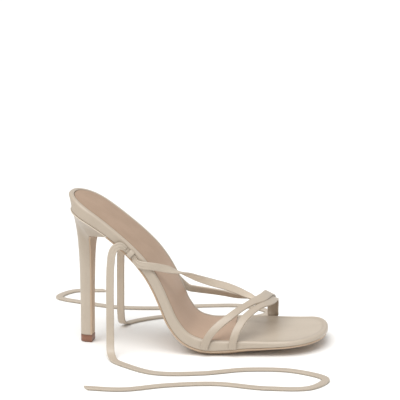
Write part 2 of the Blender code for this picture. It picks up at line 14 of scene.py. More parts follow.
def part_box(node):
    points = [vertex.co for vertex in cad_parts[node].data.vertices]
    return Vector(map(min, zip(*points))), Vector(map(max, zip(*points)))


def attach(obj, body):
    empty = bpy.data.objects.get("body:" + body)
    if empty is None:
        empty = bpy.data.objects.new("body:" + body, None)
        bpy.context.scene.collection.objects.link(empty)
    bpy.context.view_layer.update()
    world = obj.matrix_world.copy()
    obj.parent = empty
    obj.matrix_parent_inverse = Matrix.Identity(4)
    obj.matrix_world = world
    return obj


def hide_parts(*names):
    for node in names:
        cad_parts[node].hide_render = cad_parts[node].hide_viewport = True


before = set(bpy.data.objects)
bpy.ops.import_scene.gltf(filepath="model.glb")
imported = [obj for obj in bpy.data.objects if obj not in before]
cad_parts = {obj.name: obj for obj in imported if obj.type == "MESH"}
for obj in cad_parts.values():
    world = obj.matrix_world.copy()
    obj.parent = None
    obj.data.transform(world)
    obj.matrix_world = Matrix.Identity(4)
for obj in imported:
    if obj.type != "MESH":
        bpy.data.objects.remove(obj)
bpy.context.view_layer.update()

# Sizes shared with the part
MM = 0.001
GAP = 0.3
HEEL_TURN = 8.0
TOP_PIECE_TALL = 5.7
RIM_ROUND = 2.2
RIM_UNDER_ROUND = 0.7
RECESS_DEEP = 1.2
RECESS_INSET = 3.4
SOCK_THICK = 0.8
SOCK_FRONT_X = 117.0
OUTSOLE_THICK = 1.6
OUTSOLE_INSET = 1.0
SEAT_INSET = 0.4
EDGE_CURVE = ((0.86, 0.35), (0.66, 0.0))
END_PULL = 10.0
BREAST_X = 27.0
HEEL_TUCK = 7.0
HEEL_TUCK_LONG = 24.0
BREAST_COVER_THICK = 0.9
BREAST_COVER_TOP = 0.966
HEEL_END_LONG = 27.0
HEEL_END_POWER = 2.15
TOE_APEX_ASIDE = 9.0
TOE_LATERAL_LONG = 38.0
TOE_MEDIAL_LONG = 14.0
TOE_POWER = 2.3
STRAP_WIDE = 6.0
STRAP_THICK = 1.6
STRAP_LIFT = 1.0
LAST_CREST = 0.36
LAST_POWER_LATERAL = 1.7
LAST_POWER_MEDIAL = 2.6
TIE_WIDE = 6.0
TIE_THICK = 1.5
KEEPER_X = 45.2
KEEPER_WIDE = 3.0
KEEPER_THICK = 1.0
KEEPER_UP = 0.9
KEEPER_DOWN = 1.9
TIE_GATHERED = 2.8
TIE_GATHER_RUN = 7.0
TIE_BEHIND = 3.4
TIE_TWIST = 180.0

# Sizes of the finish, and the strengths and places of painted shade and painted light
ROWS = 230
ROWS_EVEN = 0.2
ROW_CLEAR = 0.6
TINY = 1e-6
SHARP_ANGLE = 50.0
PAD_SHARES = (0.5, 0.8)
PAD_LIGHT = 0.22
PAD_LIGHT_X = (130.0, 158.0)
TOE_DISH = 0.5
RECESS_WALL = 0.4
RIM_STEPS = range(90, -1, -10)
RIM_UNDER_STEPS = (0, 22, 45, 67, 90)
RIM_UNDER_SHADE = 0.4
RIM_SHADE = 0.35
RIM_SHADE_X = (75.0, 30.0)
SOCK_PILLOW = 0.45
SOCK_SHARES = (0.3, 0.55, 0.75, 0.88)
SOCK_LIGHT_X = (48.0, 66.0)
OUTSOLE_PRESSED = 0.8
OUTSOLE_UNDER_SHADE = 0.8
ARCH_SHADE = 0.7
ARCH_X = (72.0, 92.0)
SEAT_SHADE = 0.9
SEAT_SHADE_LEVELS = (0.55, 0.95)
SEAT_LIP = 0.75
SEAT_LIP_LIGHT = -0.6
SEAT_LIP_TALL = 1.0
TOP_PIECE_MIDDLE = 3.0
BREAST_SINK = 0.3
BREAST_EDGE_DEEP = 0.5
BREAST_EDGE_EASE = 0.12
BREAST_EDGE_REACH = 0.975
BREAST_FACE_REACH = 0.9
BREAST_BACK_SHADE = 0.6
BREAST_FRONT = 0.999
STRAP_ROWS = 190
STRAP_FLAT_POINTS = 13
STRAP_TURN_POINTS = 9
STRAP_DOME = 0.14
STRAP_CORNER = 0.6
STRAP_SHADE = 0.35
STRAP_EDGE_FROM = 0.3
STRAP_EDGE_SHADE = 0.6
STRAP_LIFT_ACROSS = (-0.55, -0.05)
CREST_SPREAD = 1.4
CREST_RISE = (-0.45, 0.05)
CREST_FALL = (1.3, 0.8)
CREST_LEAN = 28.0
CREST_LEAN_FALL = (1.0, 0.5)
KEEPER_ROWS = 40
KEEPER_SINK = 0.4
KEEPER_TURN = 0.9
KEEPER_CORNER = 0.25
KEEPER_BOW = 0.15
KEEPER_EDGE = 0.3
KEEPER_EDGE_EASE = 0.05
KEEPER_EDGE_TALL = 0.6
KEEPER_DOME = 0.08
KEEPER_SHADE = 0.5
KEEPER_SHADE_FROM = 0.2
TIE_AT_KEEPER = (-TIE_BEHIND, -1.8, 0.0, 2.4)
TIE_SPACING = (2.8, 0.8)
# Painted light on the tie's reverse side, below zero so that it mixes in the lighter cream
TIE_REVERSE_PAINTED_LIGHT = -1.0
TIE_EDGE_SHADE = 0.15
GATHER_DEEP = 0.3
GATHER_FOLDS = 2.5
FOLD_RUN = 18.0
END_SPACING = (5.0, 1.2)
END_CLEAR = 0.05
END_LYING = (1.0, 4.0)
END_CURL = 0.2
END_CURL_ALONG = (60.0, 120.0)
END_SLANT = 0.7
END_SLANT_RUN = 6.0

# Loops of the recess's edge: how far in from its line, fall under the sock, share of the dish, painted
# shade in the groove
RECESS_EDGE = (
    (RECESS_WALL, RECESS_DEEP, 0.75, 0.35),
    (0.12, 0.3, 0.6, 0.25),
    (-0.1, 0.08, 0.45, 0.05),
    (-0.5, 0.0, 0.2, 0.0),
)
# Loops of the sock's edge: how far in from its outline, fall below its top, painted shade
SOCK_EDGE = (
    (1.0, -0.08, 0.1),
    (0.35, 0.0, 0.4),
    (0.1, 0.12, 0.8),
    (0.0, 0.35, 1.0),
    (0.0, SOCK_THICK, 1.0),
)
# Loops of the outsole's edge: how far in from its outline, fall below its top, painted shade
OUTSOLE_EDGE = (
    (0.25, 0.0, 0.2),
    (0.05, 0.12, 0.1),
    (0.0, 0.35, 0.0),
    (0.0, 0.9, 0.0),
    (0.06, 1.2, 0.1),
    (0.25, 1.45, 0.5),
    (0.7, OUTSOLE_THICK, 0.8),
)
# Loops of the lip at the heel's top: how far in from the footbed's outline, fall, painted shade, below
# zero a painted highlight
HEEL_LIP = (
    (SEAT_INSET + 0.5, -0.1, 0.3),
    (SEAT_INSET - SEAT_LIP + 0.2, -0.1, SEAT_LIP_LIGHT),
    (SEAT_INSET - SEAT_LIP, 0.1, SEAT_LIP_LIGHT),
    (SEAT_INSET - SEAT_LIP, 0.5, SEAT_LIP_LIGHT),
)
# Levels of the heel and of its breast cover: first, last and how many
HEEL_TOP = 0.97
LIP_TO_FLARE = (0.0, 0.33, 0.66)
FLARE_LEVELS = (HEEL_TOP, 0.62, 36)
STEM_LEVELS = (0.6, 0.01, 30)
BREAST_STEM_LEVELS = (0.0, 0.6, 24)
BREAST_FLARE_LEVELS = (0.62, BREAST_COVER_TOP, 30)
# Loops of the heel's foot: pull toward its middle, painted shade
HEEL_FOOT = (
    (0.01, 0.4),
    (0.06, 0.8),
)
# Rings of the top piece: height, pull toward its middle
TOP_PIECE_RINGS = (
    (TOP_PIECE_TALL, 0.08),
    (5.62, 0.03),
    (5.4, 0.0),
    (3.0, 0.0),
    (0.6, 0.0),
    (0.2, 0.02),
    (0.0, 0.07),
)

FOOTBED_COLUMNS = ("x", "y", "z", "turn", "wide", "thick", "lift")
FOOTBED = (
    (-11.2, 1.6, 122.1, 8.0, 51.0, 9.4, 0.0),
    (2.0, -0.3, 115.0, 8.0, 52.0, 9.3, 0.0),
    (14.0, -2.0, 107.4, 8.0, 53.0, 8.5, 0.0),
    (28.0, -3.8, 97.0, 8.0, 54.0, 7.3, 0.0),
    (42.0, -5.0, 85.2, 8.5, 54.0, 7.2, 0.0),
    (52.0, -5.6, 75.0, 8.5, 54.5, 7.4, 0.0),
    (60.0, -5.6, 63.8, 8.0, 56.0, 7.2, 0.0),
    (66.0, -5.2, 52.6, 7.5, 58.0, 7.1, 0.0),
    (71.0, -4.4, 40.6, 6.5, 61.0, 7.3, 0.2),
    (77.0, -3.2, 27.0, 5.0, 65.0, 8.4, 0.8),
    (85.0, -1.6, 17.0, 3.5, 69.0, 9.8, 1.8),
    (95.0, -0.2, 12.9, 2.0, 73.0, 10.7, 2.6),
    (108.0, 0.8, 12.2, 1.0, 75.0, 10.6, 3.1),
    (125.0, 1.6, 12.4, 0.0, 76.0, 8.7, 2.8),
    (145.0, 2.2, 12.0, 0.0, 75.0, 6.4, 1.8),
    (165.0, 2.6, 12.2, 0.0, 72.0, 4.6, 0.9),
    (189.0, 3.0, 13.5, 0.0, 68.0, 4.2, 0.6),
)

HEEL_COLUMNS = ("level", "back", "front", "half")
HEEL = (
    (0.00, -5.2, 3.5, 5.0),
    (0.35, -5.3, 3.8, 5.3),
    (0.62, -5.9, 4.2, 6.2),
    (0.78, -7.1, 4.5, 7.6),
    (0.87, -8.3, 4.9, 10.0),
    (0.93, -9.2, 5.6, 13.8),
    (0.97, -9.9, 7.2, 18.4),
)

LAST_COLUMNS = ("x", "tall")
LAST = (
    (88.0, 45.0),
    (104.0, 38.4),
    (116.0, 33.3),
    (125.0, 29.2),
    (135.0, 25.1),
    (141.0, 21.8),
    (146.0, 18.3),
    (160.0, 15.2),
    (186.0, 11.3),
)

STRAP_COLUMNS = ("x", "across")
REAR_STRAP = (
    (96.6, -1.86),
    (96.8, -1.35),
    (97.4, -1.00),
    (99.2, -0.985),
    (102.2, -0.95),
    (106.9, -0.88),
    (114.2, -0.75),
    (121.6, -0.55),
    (129.0, -0.30),
    (136.4, 0.00),
    (138.9, 0.20),
    (140.1, 0.36),
    (141.7, 0.60),
    (143.4, 0.88),
    (144.0, 1.00),
    (144.3, 1.35),
    (144.3, 1.86),
)
FRONT_STRAP = (
    (116.5, -1.86),
    (116.7, -1.35),
    (117.0, -1.00),
    (117.8, -0.985),
    (119.0, -0.95),
    (121.0, -0.88),
    (124.2, -0.75),
    (129.4, -0.55),
    (135.2, -0.30),
    (141.0, 0.00),
    (143.6, 0.20),
    (144.9, 0.36),
    (145.7, 0.60),
    (145.7, 0.88),
    (145.6, 1.00),
    (145.5, 1.35),
    (145.5, 1.86),
)

# The tie's rows along it: x, y, z and roll
TIE_OVER_VAMP = (
    (42.2, -33.4, 73.0, -90.0),
    (45.7, -33.7, 70.9, -90.0),
    (49.6, -34.1, 70.4, -88.0),
    (55.9, -33.0, 69.4, -82.0),
    (62.8, -30.2, 67.5, -68.0),
    (67.8, -27.8, 65.8, -48.0),
    (72.1, -25.0, 63.9, -20.0),
    (76.9, -21.8, 62.0, 14.0),
    (82.0, -18.2, 59.5, 44.0),
    (87.3, -14.0, 56.3, 67.0),
    (93.9, -9.0, 52.8, 86.0),
    (100.5, -4.6, 49.7, 96.0),
    (110.0, 1.0, 45.6, 106.0),
    (118.2, 5.4, 41.2, 118.0),
    (125.8, 8.4, 36.9, 138.0),
    (131.8, 10.2, 34.2, 164.0),
    (136.2, 15.2, 33.0, 180.0),
    (132.0, 20.4, 32.4, 196.0),
    (124.8, 21.8, 31.8, 212.0),
    (117.5, 22.0, 32.4, 226.0),
    (106.0, 23.2, 34.3, 240.0),
    (92.8, 28.0, 34.8, 250.0),
    (84.0, 31.5, 34.9, 255.0),
    (77.3, 34.2, 35.4, 260.0),
    (70.5, 34.0, 41.0, 264.0),
    (64.0, 31.6, 50.4, 268.0),
    (57.5, 28.0, 62.4, 270.0),
)
LATERAL_END = (
    (30.6, -33.6, 85.4, -90.0),
    (27.0, -34.6, 84.6, -90.0),
    (24.4, -35.6, 80.2, -90.0),
    (23.2, -36.4, 72.0, -90.0),
    (22.6, -37.4, 55.0, -88.0),
    (22.6, -38.6, 34.0, -84.0),
    (22.8, -40.8, 14.0, -72.0),
    (23.6, -46.0, 4.6, -42.0),
    (27.0, -54.5, 1.0, -8.0),
    (38.0, -67.0, 0.8, 0.0),
    (60.0, -83.0, 0.8, 0.0),
    (94.0, -82.0, 0.8, 0.0),
    (130.0, -70.0, 0.8, 0.0),
    (166.0, -72.0, 0.8, 0.0),
    (188.0, -90.0, 0.8, 0.0),
    (178.0, -110.0, 0.8, 0.0),
    (146.0, -114.0, 0.8, 0.0),
    (108.0, -106.0, 0.8, 0.0),
    (72.0, -112.0, 0.8, 0.0),
    (40.0, -124.0, 0.8, 0.0),
    (14.0, -122.0, 0.8, 0.0),
)
MEDIAL_END = (
    (38.6, 24.2, 86.2, 90.0),
    (33.6, 25.4, 87.8, 90.0),
    (28.4, 26.6, 85.8, 90.0),
    (25.2, 27.4, 79.0, 90.0),
    (24.0, 28.2, 70.0, 90.0),
    (23.4, 29.0, 56.0, 88.0),
    (23.0, 30.6, 32.0, 84.0),
    (22.8, 32.8, 14.0, 72.0),
    (23.2, 38.0, 4.6, 42.0),
    (26.6, 47.0, 1.0, 8.0),
    (40.0, 60.0, 0.8, 0.0),
    (64.0, 71.0, 0.8, 0.0),
    (94.0, 66.0, 0.8, 0.0),
    (122.0, 68.0, 0.8, 0.0),
    (140.0, 86.0, 0.8, 0.0),
    (122.0, 104.0, 0.8, 0.0),
    (88.0, 104.0, 0.8, 0.0),
    (50.0, 94.0, 0.8, 0.0),
    (14.0, 94.0, 0.8, 0.0),
    (-16.0, 106.0, 0.8, 0.0),
    (-40.0, 122.0, 0.8, 0.0),
    (-30.0, 142.0, 0.8, 0.0),
    (-4.0, 146.0, 0.8, 0.0),
)

# Camera: where it stands round the shoe, what it looks at and where that falls in the picture
CAMERA_AZIMUTH = 4.0
CAMERA_ELEVATION = 15.0
CAMERA_FAR = 1500.0
CAMERA_AIM = (90.0, 0.0, 50.0)
PICTURE = 400.0
AIM_PIXEL = (201.5, 281.0)
FOCAL_PIXELS = 1920.0
SENSOR = 36.0
CLIP = (0.05, 60.0)

# Studio: sizes and places in metres, angles in degrees
SKY = (1.0, 0.99, 0.975, 1.0)
SKY_STRENGTH = 0.62
SUN_STRENGTH = 1.9
SUN_SPREAD = 60.0
SUN_WAY = (0.25, 0.45, -1.0)
STRIP_PLACE = (0.0, -0.45, 1.0)
STRIP_AIM = (0.0, 0.0, 0.05)
STRIP_SIZE = (1.4, 0.16)
STRIP_WATTS = 3.0
FLOOR_HALF = 6.0
FLOOR_DOWN = 0.0002
FLOOR_COLOURS = ((0.93, 0.93, 0.92), (0.95, 0.95, 0.94))
FLOOR_WAVES = 6.0
FLOOR_ROUGH = 0.7
FLOOR_SPECULAR = 0.2

# Leather: waves a metre of its noises, how each is read and what it does, and the places of the
# colours and the result on a mix node
CLOUD_WAVES = 55.0
CLOUD_RANGE = (0.35, 0.65)
CLOUD_TINT = 0.10
ROUGH_RANGE = (0.3, 0.7)
ROUGH_VARY = 0.05
FLECK_WAVES = 900.0
FLECK_RANGE = (0.45, 0.75)
FLECK_TINT = 0.22
PAINTED_DEEP = 0.75
FINE_WAVES = 3200.0
FINE_TALL = 0.45
SWELL_WAVES = 130.0
SWELL_TALL = 2.2
GRAIN_TALL = 0.00012
NOISE_ROUGH = 0.55
SPECULAR = 0.5
COAT_ROUGH = 0.32
MIX_COLOURS = (6, 7)
MIX_RESULT = 2

# Colours, linear. The deep colours are mixed in for flecks and for painted shade, the lighter cream and
# sock colours for painted light
CREAM = (0.475, 0.405, 0.325)
CREAM_DEEP = (0.345, 0.275, 0.205)
# Lighter cream for painted light: the toe pad, a painted highlight on the heel's lip and the tie's reverse
CREAM_PAINTED_LIGHT = (0.64, 0.55, 0.445)
SOCK = (0.395, 0.276, 0.196)
SOCK_DEEP = (0.29, 0.195, 0.13)
# Lighter sock colour for painted light from the arch forward
SOCK_LIGHT = (0.466, 0.332, 0.243)
SOLE = (0.56, 0.425, 0.305)
SOLE_DEEP = (0.42, 0.29, 0.19)
TIP = (0.255, 0.112, 0.067)
TIP_DEEP = (0.16, 0.07, 0.04)


def column(table, names, name):
    """One named column of a table as an array."""
    return np.array([row[names.index(name)] for row in table], float)


def spline(knots, values, at):
    """Smooth curve through values at knots, read at the places in at."""
    knots, values, at = np.asarray(knots), np.asarray(values), np.asarray(at, float)
    slopes = np.gradient(values, knots)
    place = np.clip(np.searchsorted(knots, at) - 1, 0, len(knots) - 2)
    span = knots[place + 1] - knots[place]
    t = (at - knots[place]) / span
    h00 = 2 * t**3 - 3 * t**2 + 1
    h10 = t**3 - 2 * t**2 + t
    h01 = 3 * t**2 - 2 * t**3
    h11 = t**3 - t**2
    ends = h00 * values[place] + h01 * values[place + 1]
    return ends + span * (h10 * slopes[place] + h11 * slopes[place + 1])


def spline_rows(knots, rows, at):
    """Smooth curve through rows of values at knots, read at the places in at."""
    return np.stack([spline(knots, rows[:, k], at) for k in range(rows.shape[1])], 1)


def along(points):
    """Distance along a line of points from its start."""
    steps = np.linalg.norm(np.diff(points, axis=0), axis=1)
    return np.concatenate([[0.0], np.cumsum(steps)])


def unit(vectors):
    """Vectors scaled to length one."""
    return vectors / np.linalg.norm(vectors, axis=-1, keepdims=True)


def square_to(way, directions):
    """Directions turned to stand square to a way."""
    return unit(directions - way * np.sum(directions * way, 1, keepdims=True))


def passing(values, ends):
    """Smooth share from 0 to 1 as values pass from the first end to the second."""
    start, end = ends
    t = np.clip((values - start) / (end - start), 0.0, 1.0)
    return t * t * (3 - 2 * t)


class Footbed:
    """Maps (distance from heel to toe, across, out of the top) to the shoe's space."""

    FINE = 600

    def __init__(self):
        rows = np.stack([column(FOOTBED, FOOTBED_COLUMNS, n) for n in FOOTBED_COLUMNS], 1)
        knots = along(rows[:, :3])
        fine = np.linspace(0.0, knots[-1], self.FINE)
        values = spline_rows(knots, rows, fine)
        self.far = along(values[:, :3])
        self.values = values
        self.long = self.far[-1]
        fall = np.gradient(values[:, 2], self.far)
        run = np.gradient(values[:, 0], self.far)
        self.slope = np.arctan2(-fall, run)

    def read(self, name, s):
        """A column of the footbed's table at distance s."""
        return np.interp(s, self.far, self.values[:, FOOTBED_COLUMNS.index(name)])

    def at_x(self, x):
        """Distance along the centre line at which it passes x."""
        return np.interp(x, self.values[:, 0], self.far)

    def axes(self, s):
        """Forward, sideways (medial) and upward directions of the section at s."""
        turn = np.radians(self.read("turn", s))
        slope = np.interp(s, self.far, self.slope)
        level = np.zeros_like(turn)
        ahead = np.stack([np.cos(turn), -np.sin(turn), level], -1)
        side = np.stack([np.sin(turn), np.cos(turn), level], -1)
        up = ahead * np.sin(slope)[..., None]
        up[..., 2] = np.cos(slope)
        return ahead, side, up

    def point(self, s, across, out):
        """Place in the shoe's space."""
        s = np.asarray(s, float)
        inside = np.clip(s, 0.0, self.long)
        centre = np.stack([self.read(n, inside) for n in ("x", "y", "z")], -1)
        _, side, up = self.axes(inside)
        slope = np.interp(s, self.far, self.slope)
        tail = np.stack([np.cos(slope), 0 * s, -np.sin(slope)], -1)
        centre = centre + tail * (s - inside)[..., None]
        return centre + side * np.asarray(across)[..., None] + up * np.asarray(out)[..., None]


def rounded_end(distance, length, power):
    """Share of the full half width at a distance from a rounded end."""
    t = np.clip(distance / length, 0.0, 1.0)
    return (1.0 - (1.0 - t) ** power) ** (1.0 / power)


def edge(bed, s, side):
    """Across position of the footbed's outer edge, side -1 lateral or +1 medial."""
    half = bed.read("wide", s) / 2
    toe_long = TOE_LATERAL_LONG if side < 0 else TOE_MEDIAL_LONG
    heel = rounded_end(s, HEEL_END_LONG, HEEL_END_POWER)
    toe = rounded_end(bed.long - s, toe_long, TOE_POWER)
    apex = np.where(s > bed.long / 2, TOE_APEX_ASIDE, 0.0)
    return apex + (side * half - apex) * heel * toe


def stations(bed):
    """Rows from heel to toe, closer at the round ends, with rows at the breast and sock's front."""
    t = np.arange(ROWS + 1) / ROWS
    s = bed.long * (ROWS_EVEN * t + (1 - ROWS_EVEN) / 2 * (1 - np.cos(np.pi * t)))
    front = bed.at_x(SOCK_FRONT_X)
    breast = bed.at_x(BREAST_X)
    kept = s[(abs(s - front) > ROW_CLEAR) & (abs(s - breast) > ROW_CLEAR)]
    return np.sort(np.concatenate([kept, [front - GAP, front + GAP, breast, breast + GAP]]))


def outline(bed, s, inset):
    """Closed outline of the footbed set in by a distance: lateral rows, then medial back again."""
    rows = np.concatenate([s, s[-2:0:-1]])
    across = np.concatenate([edge(bed, s, -1), edge(bed, s[-2:0:-1], 1)])
    loop = np.stack([rows, across], -1)
    way = unit(np.roll(loop, -1, 0) - np.roll(loop, 1, 0))
    inward = np.stack([-way[:, 1], way[:, 0]], -1)
    return loop + inward * inset


def drawn_in(bed, loop, share):
    """An outline drawn in toward the footbed's middle, to a share of its width."""
    half = bed.long / 2
    pull = END_PULL * (1 - share) / (1 - EDGE_CURVE[-1][0])
    rows = half + (loop[:, 0] - half) * (1 - pull / half)
    return np.stack([rows, loop[:, 1] * share], -1)


def tucked(loop):
    """An outline with its heel end drawn forward, where the rim leans out over the heel."""
    draw = HEEL_TUCK * np.clip(1.0 - loop[:, 0] / HEEL_TUCK_LONG, 0.0, 1.0) ** 2
    return np.stack([loop[:, 0] + draw, loop[:, 1]], -1)


def underside(bed, loop, lifted, down):
    """Points of a loop under the footbed, with a share of the edges' lift and lowered."""
    loop = tucked(loop)
    rows = np.clip(loop[:, 0], 0.0, bed.long)
    fall = bed.read("thick", rows) - lifted * bed.read("lift", rows) + down
    return bed.point(loop[:, 0], loop[:, 1], -fall)


def strip_rows(count):
    """Pairs of loop places that face each other across a closed outline of count rows."""
    total = 2 * (count - 1)
    return [(j, (total - j) % total) for j in range(count)]


def cap(pairs, start, flip):
    """Faces that close a loop by strips between its facing places."""
    faces = []
    for (a, b), (c, d) in zip(pairs[:-1], pairs[1:]):
        ring = [start + k for k in (a, c, d, b)]
        face = [k for i, k in enumerate(ring) if k not in ring[:i]]
        if len(face) > 2:
            faces.append(face[::-1] if flip else face)
    return faces


def skin(loops, pairs):
    """Vertices and faces of a body whose stacked loops run from its top to its underside."""
    count = len(loops[0])
    points = np.concatenate(loops)
    faces = cap(pairs, 0, False)
    for level in range(len(loops) - 1):
        for k in range(count):
            after = (k + 1) % count
            upper, lower = level * count, (level + 1) * count
            faces.append([upper + after, upper + k, lower + k, lower + after])
    faces += cap(pairs, (len(loops) - 1) * count, True)
    return points, faces


def open_outline(bed, s, inset, keep):
    """Outline of part of the footbed: the rows of s where keep is true, cut straight across."""
    loop = outline(bed, s, inset)
    chosen = [pair for pair, kept in zip(strip_rows(len(s)), keep) if kept]
    lateral = [a for a, b in chosen]
    medial = [b for a, b in chosen if a != b]
    order = lateral + medial[::-1]
    place = {k: i for i, k in enumerate(order)}
    pairs = [(place[a], place[b]) for a, b in chosen]
    return loop[order], pairs


def between(bed, rows, ends):
    """Smooth share from 0 to 1 as rows pass from one x of the footbed's middle to another."""
    return passing(rows, [bed.at_x(x) for x in ends])


def footbed_shape(bed):
    """Wrapped footbed: recess under the sock, softly dished toe, rounded rim and curved underside, with
    painted light on the toe pad and painted shade on the rim and in the groove.
    """
    s = stations(bed)
    front = bed.at_x(SOCK_FRONT_X)
    loops, shades = [], []

    def add(loop, recess, dish, shade):
        under_sock = loop[:, 0] < front
        fall = np.where(under_sock, recess, dish)
        loops.append(bed.point(loop[:, 0], loop[:, 1], -fall))
        shades.append(np.full(len(loop), shade))

    base = outline(bed, s, 0.0)
    # Painted light on the toe pad, and painted shade on the rim's side toward the heel
    pad = -PAD_LIGHT * between(bed, base[:, 0], PAD_LIGHT_X)
    seat = RIM_SHADE * between(bed, base[:, 0], RIM_SHADE_X)
    for share in PAD_SHARES:
        add(drawn_in(bed, base, share), RECESS_DEEP, TOE_DISH, pad)
    for beyond, recess, dish, shade in RECESS_EDGE:
        add(outline(bed, s, RECESS_INSET + beyond), recess, TOE_DISH * dish, shade)
    for degrees in RIM_STEPS:
        a = math.radians(degrees)
        fall = RIM_ROUND * (1 - math.sin(a))
        add(outline(bed, s, RIM_ROUND * (1 - math.cos(a))), fall, fall, seat * math.cos(a))
    # Painted shade on the rim's underside, and full painted shade on the underside beneath
    for degrees in RIM_UNDER_STEPS:
        a = math.radians(degrees)
        rise = RIM_UNDER_ROUND * (1 - math.sin(a))
        inset = RIM_UNDER_ROUND * (1 - math.cos(a))
        loops.append(underside(bed, outline(bed, s, inset), 1.0, -rise))
        shades.append(np.maximum(seat, RIM_UNDER_SHADE * degrees / 90))
    for share, lifted in EDGE_CURVE:
        loops.append(underside(bed, drawn_in(bed, base, share), lifted, 0.0))
        shades.append(np.ones(len(base)))
    return skin(loops, strip_rows(len(s))), np.concatenate(shades)


def sock_shape(bed):
    """Sock lying in the recess, softly padded, with a turned down edge, painted shade on its edge and
    painted light from the arch forward.
    """
    s = stations(bed)
    keep = s < bed.at_x(SOCK_FRONT_X)
    front = bed.at_x(SOCK_FRONT_X) - 2 * GAP
    top = RECESS_DEEP - GAP - SOCK_THICK
    inset = RECESS_INSET + RECESS_WALL + GAP
    full, pairs = open_outline(bed, s, inset, keep)
    loops, shades = [], []

    def add(loop, fall, shade):
        rows = np.minimum(loop[:, 0], front)
        loops.append(bed.point(rows, loop[:, 1], -fall + 0.0 * rows))
        # Painted light lifts the sock from the arch forward
        shades.append(shade - between(bed, rows, SOCK_LIGHT_X) * (1.0 - shade))

    inner = SOCK_SHARES[0]
    for share in SOCK_SHARES:
        crown = SOCK_PILLOW * (1 - ((share - inner) / (1 - inner)) ** 2)
        add(drawn_in(bed, full, share), top - crown, 0.0)
    for beyond, fall, shade in SOCK_EDGE:
        add(open_outline(bed, s, inset + beyond, keep)[0], top + fall, shade)
    return skin(loops, pairs), np.concatenate(shades)


def outsole_shape(bed):
    """Thin outsole with an eased edge, flat where it meets the floor, with painted shade along the arch
    and underneath.
    """
    s = stations(bed)
    keep = s > bed.at_x(BREAST_X)
    full, pairs = open_outline(bed, s, 0.0, keep)
    inner = [(drawn_in(bed, full, share), lifted) for share, lifted in EDGE_CURVE]
    levels = [(loop, lifted, 0.0, 0.0) for loop, lifted in inner[::-1]]
    for inset, down, shade in OUTSOLE_EDGE:
        levels.append((open_outline(bed, s, OUTSOLE_INSET + inset, keep)[0], 1.0, down, shade))
    levels += [(loop, lifted, OUTSOLE_THICK, OUTSOLE_UNDER_SHADE) for loop, lifted in inner]
    loops, shades = [], []
    for loop, lifted, down, shade in levels:
        points = underside(bed, loop, lifted, GAP + down)
        points[:, 2] = np.maximum(points[:, 2], (OUTSOLE_THICK - down) * OUTSOLE_PRESSED)
        loops.append(points)
        # Painted shade darkens the outsole from the breast along the arch
        shades.append(np.maximum(shade, ARCH_SHADE * (1.0 - between(bed, loop[:, 0], ARCH_X))))
    return skin(loops, pairs), np.concatenate(shades)


def heel_frame():
    """Forward and medial directions of the heel on the floor."""
    turn = math.radians(HEEL_TURN)
    ahead = np.array([math.cos(turn), -math.sin(turn), 0.0])
    side = np.array([math.sin(turn), math.cos(turn), 0.0])
    return ahead, side


def heel_size(level):
    """Back, front and half width of the heel at a level."""
    levels = column(HEEL, HEEL_COLUMNS, "level")
    return [spline(levels, column(HEEL, HEEL_COLUMNS, n), level) for n in HEEL_COLUMNS[1:]]


def seat_loop(bed, inset=SEAT_INSET, down=0.0):
    """Outline of the heel's top under the seat and its places on a unit section."""
    s = stations(bed)
    keep = s <= bed.at_x(BREAST_X) + TINY
    loop, pairs = open_outline(bed, s, inset, keep)
    top = underside(bed, loop, 0.0, GAP + down)
    low, high = loop[:, 0].min(), loop[:, 0].max()
    forward = (loop[:, 0] - low) / (high - low)
    across = loop[:, 1] / abs(loop[:, 1]).max()
    return top, forward, across, pairs


def heel_section(forward, across, level, z):
    """Points of the heel's section at a level, at heights z."""
    ahead, side = heel_frame()
    back, front, half = heel_size(level)
    u = back + (front - back) * forward
    points = u[:, None] * ahead + (half * across)[:, None] * side
    points[:, 2] = z
    return points


def heel_shape(bed):
    """Slim heel that flares into the seat, with a lip where its cover is turned over the top, painted
    paler as a painted highlight, and painted shade on its flare.
    """
    top, forward, across, pairs = seat_loop(bed)
    foot = TOP_PIECE_TALL + GAP

    def section(level):
        return heel_section(forward, across, level, foot + level * (top[:, 2] - foot))

    loops = [seat_loop(bed, inset, down)[0] for inset, down, _ in HEEL_LIP]
    shades = [shade for _, _, shade in HEEL_LIP]
    lip = seat_loop(bed, SEAT_INSET, SEAT_LIP_TALL)[0]
    flare = section(HEEL_TOP)
    # Painted shade on the flare under the rim, fading out down the stem
    for t in LIP_TO_FLARE:
        loops.append(lip + (flare - lip) * t)
        shades.append(SEAT_SHADE)
    for level in np.concatenate([np.linspace(*FLARE_LEVELS), np.linspace(*STEM_LEVELS)]):
        loops.append(section(level))
        shades.append(SEAT_SHADE * passing(level, SEAT_SHADE_LEVELS))
    low = section(0.0)
    for pull, shade in HEEL_FOOT:
        loops.append(low + (low.mean(0) - low) * pull)
        shades.append(shade)
    return skin(loops, pairs), np.repeat(shades, len(top))


def tip_outline(bed):
    """Outline of the top piece on the floor, under the heel and its breast cover, and its pairs."""
    _, forward, across, pairs = seat_loop(bed)
    ahead, _ = heel_frame()
    stretch = (GAP + BREAST_COVER_THICK) * forward
    return heel_section(forward, across, 0.0, 0.0) + stretch[:, None] * ahead, pairs


def top_piece_shape(bed):
    """Top piece under the heel and its breast cover, with eased edges and painted shade toward them."""
    full, pairs = tip_outline(bed)
    middle = full.mean(0)
    loops, shades = [], []
    for z, pull in TOP_PIECE_RINGS:
        ring = full + (middle - full) * pull
        ring[:, 2] = z
        loops.append(ring)
        # Painted shade, darker toward its top and bottom edges
        shades.append(abs(z - TOP_PIECE_MIDDLE) / TOP_PIECE_MIDDLE)
    return skin(loops, pairs), np.repeat(shades, len(full))


